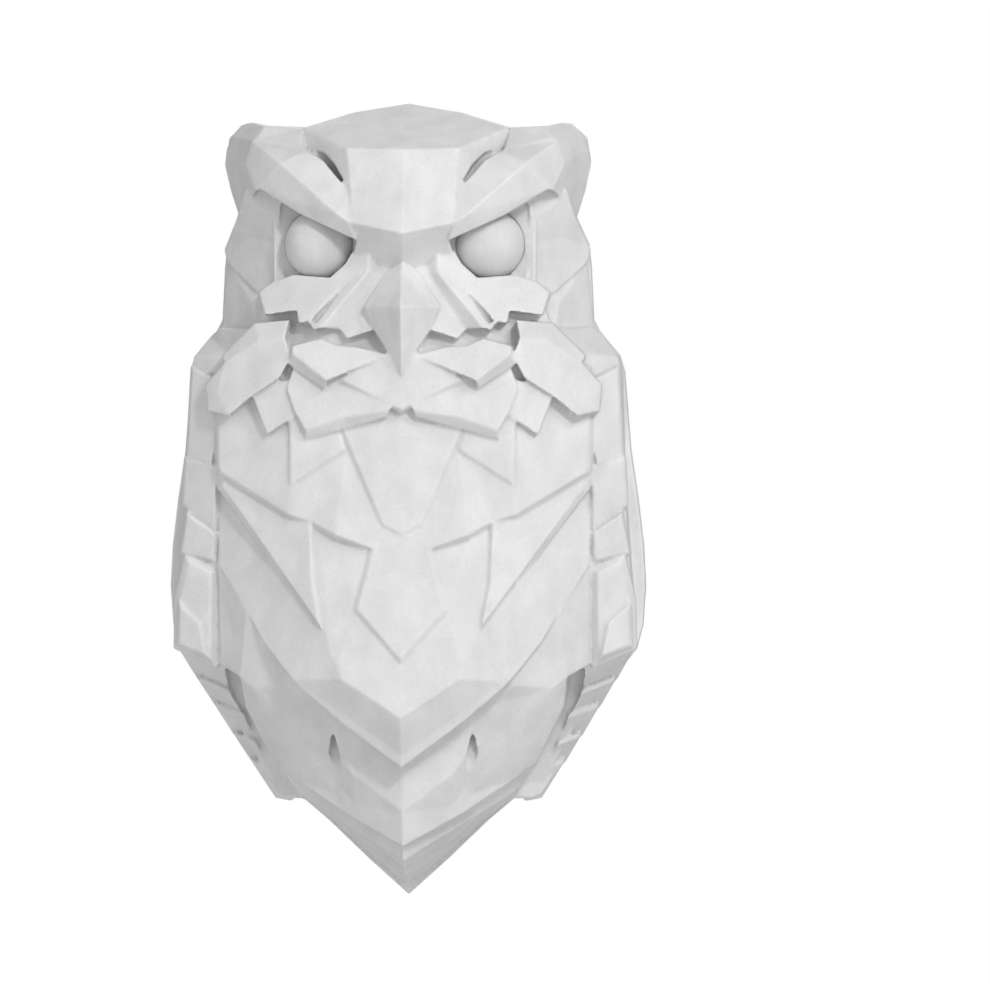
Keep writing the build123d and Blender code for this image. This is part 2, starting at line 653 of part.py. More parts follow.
# ---------------------------------------------------------------- the wings
def wings():
    """Folded wings: a base, five stepped coverts, and the primaries that step back to the tip."""
    base = {
        "neck": (37, 41, 43), "neck_out": (46.9, 20, 43.2), "shoulder_a": (49.4, 18, 41),
        "shoulder_b": (53.3, 20, 36), "shoulder_c": (54.3, 23, 32), "side_a": (54.8, 31, 11),
        "side_b": (55.4, 31.5, 0), "side_c": (56.4, 31.5, -14), "side_d": (57.6, 29.5, -30),
        "side_e": (57.2, 28, -36.8), "foot_in": (45.5, 33, -41.3), "in_a": (44, 34, -16),
        "in_b": (44, 36, 8), "in_c": (44, 37, 20), "in_d": (44.4, 38, 36.6),
    }
    base_faces = [
        "neck neck_out shoulder_a in_d",
        "in_d shoulder_a shoulder_b",
        "in_d shoulder_b shoulder_c side_a in_b in_c",
        "in_b side_a side_b side_c in_a",
        "in_a side_c side_d side_e foot_in",
    ]
    covert_a = {
        "in_top": (47, 38, 30), "out_top": (53.4, 32.5, 33), "out": (54.6, 33.5, 11.2),
        "in": (48.6, 38.5, 9.4),
        "in_mid": (47.2, 39, 20),
    }
    covert_m = {
        "in_top": (47.6, 38.4, 8.6), "out_top": (55, 34.6, 10.2), "out": (55.6, 31.8, -1),
        "foot": (51, 33.8, -5.4), "in": (47.6, 36.4, -7.2),
    }
    covert_n = {
        "in_top": (47.8, 38, -8.2), "out_top": (54.4, 36.4, -3.8), "out": (56, 33.6, -13), "in": (48, 35.8, -15),
    }
    covert_b = {
        "in_top": (48.8, 36.5, -18.3), "out_top": (54.2, 35.5, -15.8), "out": (56.4, 33, -25),
        "out_low": (56.6, 33, -36.3), "in": (49, 35.5, -39.6),
    }
    covert_c = {
        "in_top": (51.6, 37, -31), "out_top": (56.4, 34.6, -26.4), "out_low": (56.5, 34.4, -36.1),
        "in": (49.8, 37, -39),
    }
    return (
        both_sides(base, base_faces, RIM_OUT)
        + both_sides(covert_a, ["in_top out_top out in in_mid"], 26, (0.6, 1.6))
        + both_sides(covert_m, ["in_top out_top out foot in"], 26, (0.6, 1.2))
        + both_sides(covert_n, ["in_top out_top out in"], 26, (0.6, 1.2))
        + both_sides(covert_b, ["in_top out_top out out_low in"], 26, (1.7, 1.9))
        + both_sides(covert_c, ["in_top out_top out_low in"], 26, (0.9, 1.4))
        + primaries()
    )


def primaries():
    """Wing feathers below the coverts: each starts with a thin front edge, then turns under and back."""
    inner_line = [
        (45.6, 33, -41.2), (44.2, 26, -48), (40.8, 20, -54), (38, 15.5, -61), (34.6, 11.5, -68),
        (29, 8, -75.4),
    ]
    outer_line = [
        (57.3, 28, -36.6), (52.6, 22, -44.6), (48.4, 17.5, -51.4), (43.8, 13.5, -58.8),
        (39.6, 10.5, -65.4),
        (33.6, 8, -74.6),
    ]
    edge, sunk = 1.1, 4.5
    made = []
    for (a, b), (c, d) in zip(zip(inner_line, inner_line[1:]), zip(outer_line, outer_line[1:])):
        points = {
            "in_top": a, "out_top": c, "out_edge": (c[0] - 0.3, c[1], c[2] - edge),
            "in_edge": (a[0] - 0.2, a[1], a[2] - edge), "out": (d[0], max(d[1] - sunk, 5), d[2] - edge),
            "in": (b[0], max(b[1] - sunk, 5), b[2] - edge),
        }
        made += both_sides(points, ["in_top out_top out_edge in_edge", "in_edge out_edge out in"], 4)
    return made


def wing_gap():
    """The floor of the narrow gap between each wing's primaries and the body."""
    points = {
        "top_in": (37, 27, -41), "top_out": (47, 27, -39), "mid_out": (43, 15.5, -56),
        "foot_out": (33.4, 10, -73),
        "foot_in": (25, 10, -70), "mid_in": (33, 16, -57),
    }
    return both_sides(points, ["top_in top_out mid_out mid_in", "mid_in mid_out foot_out foot_in"], INNER)


def rim():
    """The straight rim round the figure's back, a little smaller than the frame along the tail."""
    return [slab(SHELL_OUTLINE, FRAME_THICKNESS, RIM_OUT + 1)]


def clefts():
    """What is cut from the figure: narrow clefts above the brows, in the whiskers and in the lower body."""
    outlines = [
        (33, [(12.8, 76.8), (17.8, 82.4), (20.3, 85.4), (25.8, 88.7), (20.2, 87.5), (17.2, 84.4)]),
        (46, [(10.6, 59.2), (23, 45.3), (21.7, 44.5)]),
        (42.5, [(17.6, -56.6), (18.7, -63), (16, -73), (15.7, -64.6)]),
    ]
    made = []
    for floor, loop in outlines:
        if area_up(loop) < 0:
            loop.reverse()
        cleft = frustum(loop, floor, loop, 60)
        made += [cleft, cleft.mirror(Plane.YZ)]
    return made


# ---------------------------------------------------------------- the shell
def figure():
    """The owl as one solid, before it is hollowed."""
    makers = [
        skull, brow_and_ear, face_disc, eye_corner, jowl, whiskers, beak, cheek_core, collar, breast, belly,
        belly_plates, lower_body, tail, wings, wing_gap, rim,
    ]
    return joined([solid for make in makers for solid in make()])


def eye_sphere(side, radius):
    """A bore from behind with a round end, one for each eye's dome."""
    return rod(side, EYE_UP, 10, EYE_OUT, radius) + Pos(*place(side, EYE_OUT, EYE_UP)) * Sphere(radius)


def hollow():
    """The space inside: a straight-sided rim, then tapering rooms for head, body and belly."""
    rim_loop_up = whole(SHELL_OUTLINE)
    rim_loop_up.reverse()
    inner = pushed_out(rim_loop_up, -RIM_WALL)
    rooms = [frustum(inner, FRAME_THICKNESS - 1, inner, RIM_OUT)]
    tapers = [
        (
            [(0, 91), (24, 88.5), (38, 87), (38, 50), (30, 44), (26, 36), (0, 36)],
            [(0, 84), (18, 84), (33, 77), (33, 53), (24, 46), (24, 36), (0, 36)],
            RIM_OUT - 1, FACE_CEILING,
        ),
        (
            [(0, 84), (8, 84), (8, 50), (0, 50)],
            [(0, 80), (6, 80), (5, 56), (0, 56)],
            FACE_CEILING - 1, 38,
        ),
        (
            [
                (0, 46), (36, 46), (43, 40), (49, 32.5), (51, 10), (54, -15), (53, -35), (45, -45),
                (28, -69),
                (0, -88),
            ],
            [
                (0, 30), (24, 30), (31, 28), (34, 24), (34, 0), (34, -16), (30, -26), (25, -33),
                (14, -56),
                (0, -60),
            ],
            RIM_OUT - 1, 36,
        ),
        (
            [(0, 28), (20, 26), (24, -8), (15, -34), (0, -50)],
            [(0, 14), (13, 12), (16, -10), (9, -30), (0, -42)],
            35, 47,
        ),
    ]
    for low, high, low_out, high_out in tapers:
        low_loop, high_loop = whole(low), whole(high)
        low_loop.reverse()
        high_loop.reverse()
        rooms.append(frustum(low_loop, low_out, high_loop, high_out))
    return joined(rooms)


def owl_shell():
    """The printed figure: hollow, with screw bosses, and bored from behind for the two eyes."""
    shell = figure() - hollow()
    shell = shell.fuse(*[rod(x, up, FRAME_THICKNESS, BOSS_OUT, BOSS_RADIUS) for x, up in SHELL_SCREWS])
    holes = clefts() + [eye_sphere(side, EYE_RADIUS + FIT) for side in (EYE_SIDE, -EYE_SIDE)]
    for x, up in SHELL_SCREWS:
        holes.append(rod(x, up, FRAME_THICKNESS - 1, FRAME_THICKNESS + INSERT_LENGTH, INSERT_RADIUS))
        holes.append(rod(x, up, FRAME_THICKNESS, FRAME_THICKNESS + INSERT_LENGTH + 4, SCREW_RADIUS + 0.2))
    return shell.cut(*holes)


def eye_dome(side):
    """A thin smooth dome pushed in from behind, with a flange that stops it."""
    flange = rod(side, EYE_UP, FACE_CEILING - EYE_FLANGE_THICKNESS, FACE_CEILING, EYE_FLANGE_RADIUS)
    skirt = rod(side, EYE_UP, FACE_CEILING - EYE_FLANGE_THICKNESS, EYE_OUT, EYE_RADIUS)
    dome = Pos(*place(side, EYE_OUT, EYE_UP)) * Sphere(EYE_RADIUS)
    return joined([flange, skirt, dome]) - eye_sphere(side, EYE_RADIUS - EYE_WALL)


# ---------------------------------------------------------------- the rear frame and what is fixed to it
SIDE_WINDOW = [
    (23.5, 47), (33, 52), (38.5, 42), (41.5, 16), (41.5, -4), (43, -24), (36, -42), (30, -50),
    (23.5, -40),
]


def keyhole(out_from, out_to, hole_radius, slot_radius):
    """A round hole with a slot rising from it."""
    top = HANG_UP + HANG_SLOT_RISE
    slot = block(-slot_radius, slot_radius, out_from, out_to, HANG_UP, top)
    return joined([
        rod(0, HANG_UP, out_from, out_to, hole_radius), slot, rod(0, top, out_from, out_to, slot_radius),
    ])


def screw(side, up, out_from, length, radius, head_radius, head_depth):
    """A flat-headed screw that goes in from the wall side."""
    head = countersink(side, up, out_from, head_radius, head_depth)
    shank = rod(side, up, out_from, out_from + length, radius)
    return head + shank


def rear_frame():
    """The flat plate behind the shell, open behind the light bar and at both sides."""
    plate = slab(FRAME_OUTLINE, 0, FRAME_THICKNESS)
    solid = plate.fuse(*[rod(x, up, FRAME_THICKNESS, 9, 4) for x, up in HANGER_SCREWS])
    cuts = [bar_block(BAR_HALF_WIDTH + CRADLE_GAP, -1, 4, BAR_HALF_LENGTH + CRADLE_GAP)]
    for sign in (1, -1):
        window = [(sign * x, up) for x, up in SIDE_WINDOW]
        if area_up(window) < 0:
            window.reverse()
        cuts.append(frustum(window, -1, window, 4))
        cuts.append(rod(sign * BAR_HALF_WIDTH, 0, -1, 4, FINGER_RADIUS))
    for x, up in SHELL_SCREWS:
        cuts.append(rod(x, up, -1, 4, SCREW_RADIUS + 0.2))
        cuts.append(countersink(x, up, 0, SCREW_HEAD_RADIUS + 0.2, SCREW_HEAD_DEPTH + 0.2))
    for x, up in CRADLE_EARS:
        cuts.append(rod(x, up, -1, 4, 1.2))
        cuts.append(countersink(x, up, 0, 2.2, 1.2))
    cuts.append(block(-HANGER_HALF_WIDTH - FIT, HANGER_HALF_WIDTH + FIT, -1, HANGER_THICKNESS,
                      HANGER_FOOT - FIT, HANGER_TOP + FIT))
    cuts.append(keyhole(0, 4, HANG_HOLE_RADIUS + 1, HANG_SLOT_RADIUS + 2.5))
    cuts += [rod(x, up, 0, 8.5, 1.3) for x, up in HANGER_SCREWS]
    return solid.cut(*cuts)


def hanger_plate():
    """The steel plate that takes the weight, with the keyhole."""
    plate = block(-HANGER_HALF_WIDTH, HANGER_HALF_WIDTH, 0, HANGER_THICKNESS, HANGER_FOOT, HANGER_TOP)
    cuts = [keyhole(-1, 3, HANG_HOLE_RADIUS, HANG_SLOT_RADIUS)]
    for x, up in HANGER_SCREWS:
        cuts += [rod(x, up, -1, 3, 1.3), countersink(x, up, 0, 2.4, 1.2)]
    return plate.cut(*cuts)


def lamp_cradle():
    """The tray that the light bar slides into from behind, with a light window in its front."""
    inner_side = BAR_HALF_WIDTH + CRADLE_GAP
    inner_up = BAR_HALF_LENGTH + CRADLE_GAP
    front = BAR_FRONT + CRADLE_GAP
    tray = bar_block(inner_side + CRADLE_WALL, FRAME_THICKNESS, front + 2, inner_up + CRADLE_WALL)
    ears = [block(x - 2.6, x + 2.6, FRAME_THICKNESS, 8, up - 5, up + 5) for x, up in CRADLE_EARS]
    solid = tray.fuse(*ears)
    cuts = [
        bar_block(inner_side, 0, front, inner_up),
        bar_block(CRADLE_WINDOW[0], 0, front + 3, CRADLE_WINDOW[1]),
    ]
    cuts += [block(-8, 8, front - 1, front + 0.6, up - 4.5, up + 4.5) for up in (MAGNET_UP, -MAGNET_UP)]
    cuts += [rod(sign * BAR_HALF_WIDTH, 0, 0, 12, FINGER_RADIUS) for sign in (1, -1)]
    cuts += [rod(x, up, 0, 7.5, 1.1) for x, up in CRADLE_EARS]
    return solid.cut(*cuts)


# ---------------------------------------------------------------- the light bar
INSIDE_SIDE = BAR_HALF_WIDTH - BAR_WALL
INSIDE_BACK = BAR_BACK + BAR_WALL
HOUSING_HALF_LENGTH = BAR_HALF_LENGTH - 4
BOARD_BACK = BAR_PORT_OUT + BAR_PORT_RADIUS
PORTS = [(side, BAR_PORT_OUT) for side in (BAR_PORT_SIDE, -BAR_PORT_SIDE)]


def bar_housing():
    """A channel, open to the front, with a screw port along each inner corner."""
    channel = bar_block(BAR_HALF_WIDTH, BAR_BACK, BAR_FRONT, HOUSING_HALF_LENGTH)
    channel = channel - bar_block(INSIDE_SIDE, INSIDE_BACK, BAR_FRONT + 1, HOUSING_HALF_LENGTH + 1)
    length = HOUSING_HALF_LENGTH
    ports = [
        Pos(side, 0, 0) * bar_block(BAR_PORT_RADIUS, INSIDE_BACK - 0.2, BOARD_BACK, length)
        for side, out in PORTS
    ]
    cuts = [post(side, out, -length - 1, length + 1, 1.1) for side, out in PORTS]
    cuts.append(block(-1.6, 1.6, 1, 5, SWITCH_UP - 4.2, SWITCH_UP + 4.2))
    cuts.append(block(-4.6, 4.6, 1, 5, SOCKET_UP - 1.75, SOCKET_UP + 1.75))
    return channel.fuse(*ports).cut(*cuts)


def bar_end_cap(sign):
    """A plug for one end of the housing, whose tongue carries the magnet behind the front face."""
    low, high = HOUSING_HALF_LENGTH, BAR_HALF_LENGTH
    cap = block(-BAR_HALF_WIDTH, BAR_HALF_WIDTH, BAR_BACK, BAR_FRONT, low, high)
    tongue = block(-INSIDE_SIDE + FIT, INSIDE_SIDE - FIT, 12, BAR_FRONT, DIFFUSER_HALF_LENGTH + 0.1, low)
    solid = cap + tongue
    cuts = [rod(0, MAGNET_UP, BAR_FRONT - MAGNET_THICKNESS, BAR_FRONT + 1, MAGNET_RADIUS + FIT)]
    cuts += [post(side, out, low - 1, high + 1, 1.2) for side, out in PORTS]
    cuts += [post(side, out, high - 1.3, high + 1, 2.1) for side, out in PORTS]
    solid = solid.cut(*cuts)
    return solid if sign > 0 else solid.mirror(Plane.XY.offset(-HANG_UP))


def bar_screws():
    """Four small screws through the end caps into the housing's ports."""
    top = BAR_HALF_LENGTH
    made = []
    for side, out in PORTS:
        one = post(side, out, top - 1.3, top - 0.1, 2.0) + post(side, out, top - 14, top - 1, 1.05)
        made += [one, one.mirror(Plane.XY.offset(-HANG_UP))]
    return several(made)


def bar_magnets():
    """A disc magnet in each end cap."""
    return several([
        rod(0, up, BAR_FRONT - MAGNET_THICKNESS, BAR_FRONT, MAGNET_RADIUS) for up in (MAGNET_UP, -MAGNET_UP)
    ])


def strike_plates():
    """Steel strips in the cradle that the magnets hold on to."""
    front = BAR_FRONT + CRADLE_GAP
    return several([
        block(-7.9, 7.9, front - 0.4, front + 0.6, up - 4.4, up + 4.4) for up in (MAGNET_UP, -MAGNET_UP)
    ])


def led_board():
    """The long board that rests on the screw ports."""
    return bar_block(INSIDE_SIDE - 0.1, BOARD_BACK, BOARD_BACK + 1.2, DIFFUSER_HALF_LENGTH - 1)


def led_chips():
    """Two rows of light-emitting chips."""
    first = -CHIP_PITCH * (CHIP_ROWS - 1) / 2
    out = BOARD_BACK + 1.2
    return several([
        Pos(0, 0, i * CHIP_PITCH) * block(side - 1.4, side + 1.4, out, out + 0.7, first - 1.7, first + 1.7)
        for i in range(CHIP_ROWS) for side in (-5.5, 5.5)
    ])


def battery_cell():
    """A flat cell between the ports."""
    return fillet(block(-7.8, 7.8, INSIDE_BACK, INSIDE_BACK + 4.2, 2, 44).edges().filter_by(Axis.Z), 1.2)


def control_board():
    """The small board behind the LED board's lower half."""
    return block(-8, 8, 6.3, 7.3, -46, -6)


def battery_leads():
    """Two short wires from the cell to the control board."""
    return several([post(side, 6.8, -6, 2, 0.6) for side in (-2.5, 2.5)])


def charge_socket():
    """A charging socket that opens through the housing's back."""
    body = block(-4.5, 4.5, BAR_BACK, 6.3, SOCKET_UP - 1.65, SOCKET_UP + 1.65)
    return body - block(-3.9, 3.9, BAR_BACK - 1, 5.3, SOCKET_UP - 1.1, SOCKET_UP + 1.1)


def mode_switch():
    """The slide switch's case on the control board."""
    case = block(-2.4, 2.4, INSIDE_BACK, 6.3, SWITCH_UP - 5, SWITCH_UP + 5)
    return case - block(-1.5, 1.5, 3, 5.4, SWITCH_UP - 3.7, SWITCH_UP + 3.7)


def switch_knob():
    """The switch's ridged slider, at its middle position."""
    shank = block(-1.2, 1.2, 1.3, 5.1, SWITCH_UP - 1.6, SWITCH_UP + 1.6)
    ridges = [block(-1.2, 1.2, 0.8, 1.3, SWITCH_UP + d - 0.3, SWITCH_UP + d + 0.3) for d in (-1.2, 0, 1.2)]
    return shank.fuse(*ridges)


# ---------------------------------------------------------------- every piece
def main():
    os.makedirs("parts", exist_ok=True)
    threads = SCREW_RADIUS + FIT
    pieces = {
        "owl_shell": owl_shell(),
        "eye_dome_right": eye_dome(EYE_SIDE),
        "eye_dome_left": eye_dome(-EYE_SIDE),
        "shell_inserts": several([
            rod(x, up, FRAME_THICKNESS, FRAME_THICKNESS + INSERT_LENGTH, INSERT_RADIUS)
            - rod(x, up, 0, 12, threads) for x, up in SHELL_SCREWS
        ]),
        "rear_frame": rear_frame(),
        "frame_screws": several([
            screw(x, up, 0, 10, SCREW_RADIUS, SCREW_HEAD_RADIUS, SCREW_HEAD_DEPTH) for x, up in SHELL_SCREWS
        ]),
        "hanger_plate": hanger_plate(),
        "hanger_screws": several([screw(x, up, 0, 7.5, 1.25, 2.3, 1.15) for x, up in HANGER_SCREWS]),
        "wall_pads": several([rod(x, up, -PAD_THICKNESS, 0, PAD_RADIUS) for x, up in PADS]),
        "lamp_cradle": lamp_cradle(),
        "cradle_screws": several([screw(x, up, 0, 7, 1.05, 2.1, 1.1) for x, up in CRADLE_EARS]),
        "strike_plates": strike_plates(),
        "bar_housing": bar_housing(),
        "bar_end_cap_top": bar_end_cap(1),
        "bar_end_cap_bottom": bar_end_cap(-1),
        "bar_screws": bar_screws(),
        "bar_magnets": bar_magnets(),
        "bar_diffuser": bar_block(
            INSIDE_SIDE - FIT, BAR_FRONT - DIFFUSER_THICKNESS, BAR_FRONT, DIFFUSER_HALF_LENGTH),
        "led_board": led_board(),
        "led_chips": led_chips(),
        "battery_cell": battery_cell(),
        "control_board": control_board(),
        "battery_leads": battery_leads(),
        "charge_socket": charge_socket(),
        "mode_switch": mode_switch(),
        "switch_knob": switch_knob(),
    }
    for name, piece in pieces.items():
        export_step(piece, f"parts/{name}.step")


main()
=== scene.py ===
"""Looks for the faceted owl wall lamp: figure, eye domes, rear frame, hanger and pull-out light bar.

Metres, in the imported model's frame: +Z is up, the owl looks along -Y, and the wall lies on the +Y side.
"""

import math

import bmesh
import bpy
from mathutils import Matrix, Vector


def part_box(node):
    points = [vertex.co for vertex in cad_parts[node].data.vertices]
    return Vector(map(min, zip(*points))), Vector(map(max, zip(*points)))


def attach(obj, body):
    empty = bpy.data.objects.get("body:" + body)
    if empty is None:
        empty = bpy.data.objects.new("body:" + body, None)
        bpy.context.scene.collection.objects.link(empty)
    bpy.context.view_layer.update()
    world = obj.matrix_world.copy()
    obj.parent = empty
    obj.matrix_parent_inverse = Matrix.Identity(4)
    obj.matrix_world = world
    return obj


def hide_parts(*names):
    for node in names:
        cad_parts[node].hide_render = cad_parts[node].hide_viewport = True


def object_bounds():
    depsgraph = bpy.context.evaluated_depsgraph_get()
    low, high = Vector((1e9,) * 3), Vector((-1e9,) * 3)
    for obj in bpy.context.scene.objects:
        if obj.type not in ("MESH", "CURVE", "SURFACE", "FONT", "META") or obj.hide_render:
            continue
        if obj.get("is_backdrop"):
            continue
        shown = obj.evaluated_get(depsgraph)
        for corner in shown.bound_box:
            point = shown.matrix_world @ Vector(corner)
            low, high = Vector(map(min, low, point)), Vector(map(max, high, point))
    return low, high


MM = 0.001

# ---------------------------------------------------------------- sizes of the looks
FIGURE_VOXEL = 0.42 * MM  # rounds the figure's creases by about this much
FIGURE_TRIANGLES = 190_000
LAYER_HEIGHT = 0.2 * MM  # the print's layers, stacked away from the wall

CAMERA_AZIMUTH, CAMERA_ELEVATION = 2.0, 1.0  # degrees
CAMERA_DISTANCE = 8.0
VIEW_WIDTH = 249 * MM  # how much of the figure's plane the view takes in
VIEW_OFFSET = (22.7 * MM, 1.5 * MM)  # the view's centre, right of and above the figure's middle
SENSOR_WIDTH = 36.0  # millimetres, as Blender counts lenses

FLOOR_DROP = 0.25  # the floor lies this far below the tail
FLOOR_RADIUS = 2.0

KEY_FROM, KEY_HIGH_FROM, BACK_FROM = (22, 28), (40, 40), (180, 25)  # azimuth and elevation, degrees
KEY_WATTS = 4.0  # a small lamp up on the right, whose shadows fall to the lower left
FILL_AZIMUTHS = (-75, -30, 30, 75)
FILL_ELEVATIONS = (5, 40)
FILL_WATTS = 1.4  # each of the large lamps round the front
BACK_WATTS = 4.0
SMALL, LARGE = 0.12, 0.6  # the lamps' sides
LAMP_DISTANCE = 1.2  # from the middle of the figure
AMBIENT = 0.15

# ---------------------------------------------------------------- tolerances
WELD_DISTANCE = 0.002 * MM  # the CAD mesh's doubled corners lie closer than this
FLAT_DEGREES = 1  # neighbouring triangles this even are one face
EDGE_DEGREES = 35  # what bends more than this is an edge
HAIR = 0.02 * MM  # measures of a screw that differ by less count as the same


# ---------------------------------------------------------------- mesh helpers
def link(piece):
    """Puts a new object in the scene."""
    bpy.context.scene.collection.objects.link(piece)
    return piece


def piece_from(mesh_builder, name, material):
    """A new object from a bmesh, smooth shaded except at its sharp edges."""
    mesh = bpy.data.meshes.new(name)
    mesh_builder.normal_update()
    mesh_builder.to_mesh(mesh)
    mesh_builder.free()
    mesh.materials.append(material)
    return link(bpy.data.objects.new(name, mesh))


def shade(piece, sharp_degrees=EDGE_DEGREES):
    """Smooth shading that stops at edges sharper than the given angle."""
    piece.data.polygons.foreach_set("use_smooth", [True] * len(piece.data.polygons))
    piece.data.set_sharp_from_angle(angle=math.radians(sharp_degrees))


def welded_copy(node, name):
    """A CAD node's shape as a new object, its doubled corners joined."""
    builder = bmesh.new()
    builder.from_mesh(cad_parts[node].data)
    bmesh.ops.remove_doubles(builder, verts=builder.verts, dist=WELD_DISTANCE)
    mesh = bpy.data.meshes.new(name)
    builder.to_mesh(mesh)
    builder.free()
    return link(bpy.data.objects.new(name, mesh))


def settled(piece):
    """Applies the piece's modifiers to its mesh."""
    bpy.context.view_layer.update()
    done = bpy.data.meshes.new_from_object(piece.evaluated_get(bpy.context.evaluated_depsgraph_get()))
    done.name = piece.name
    piece.modifiers.clear()
    piece.data = done


def softened(node, width, material, segments=2):
    """Rounds a CAD node's edges with modifiers alone, and gives it its material."""
    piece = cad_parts[node]
    weld = piece.modifiers.new("weld", "WELD")
    weld.merge_threshold = WELD_DISTANCE
    merge = piece.modifiers.new("merge flat faces", "DECIMATE")
    merge.decimate_type = "DISSOLVE"
    merge.angle_limit = math.radians(FLAT_DEGREES)
    bevel = piece.modifiers.new("round", "BEVEL")
    bevel.width = width
    bevel.segments = segments
    bevel.limit_method = "ANGLE"
    bevel.angle_limit = math.radians(EDGE_DEGREES)
    bevel.use_clamp_overlap = False
    even = piece.modifiers.new("keep flat faces flat", "WEIGHTED_NORMAL")
    even.weight = 100  # the largest faces decide the shading
    piece.data.polygons.foreach_set("use_smooth", [True] * len(piece.data.polygons))
    for place in piece.material_slots:
        place.material = material


def islands(node):
    """The separate solids of a CAD node, each as a list of its corners in the row frame."""
    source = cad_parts[node]
    builder = bmesh.new()
    builder.from_mesh(source.data)
    bmesh.ops.remove_doubles(builder, verts=builder.verts, dist=WELD_DISTANCE)
    left = set(builder.verts)
    found = []
    while left:
        reach = [left.pop()]
        corners = []
        while reach:
            vertex = reach.pop()
            corners.append(source.matrix_world @ vertex.co)
            for edge in vertex.link_edges:
                other = edge.other_vert(vertex)
                if other in left:
                    left.remove(other)
                    reach.append(other)
        found.append(corners)
    builder.free()
    return sorted(found, key=lambda corners: tuple(round(c, 5) for c in corner_range(corners)[0]))


def corner_range(corners):
    """The lowest and highest corner of some points."""
    low = Vector([min(c[k] for c in corners) for k in range(3)])
    high = Vector([max(c[k] for c in corners) for k in range(3)])
    return low, high


def turned(builder, matrix, profile, segments, ripple=None):
    """Turns a profile of (radius, height) about the matrix's Z axis.

    ripple(angle number, row) gives what a radius is multiplied by.
    """
    rows = []
    for row, (radius, height) in enumerate(profile):
        ring = []
        for step in range(segments):
            angle = math.tau * step / segments
            reach = radius * (ripple(step, row) if ripple else 1)
            point = Vector((reach * math.cos(angle), reach * math.sin(angle), height))
            ring.append(builder.verts.new(matrix @ point))
        rows.append(ring)
    for low, high in zip(rows, rows[1:]):
        for step in range(segments):
            after = (step + 1) % segments
            builder.faces.new((low[step], low[after], high[after], high[step]))
    return rows


# ---------------------------------------------------------------- material helpers
WAVE_PERIOD = math.pi / 10  # how far apart a wave texture's lines lie at scale 1


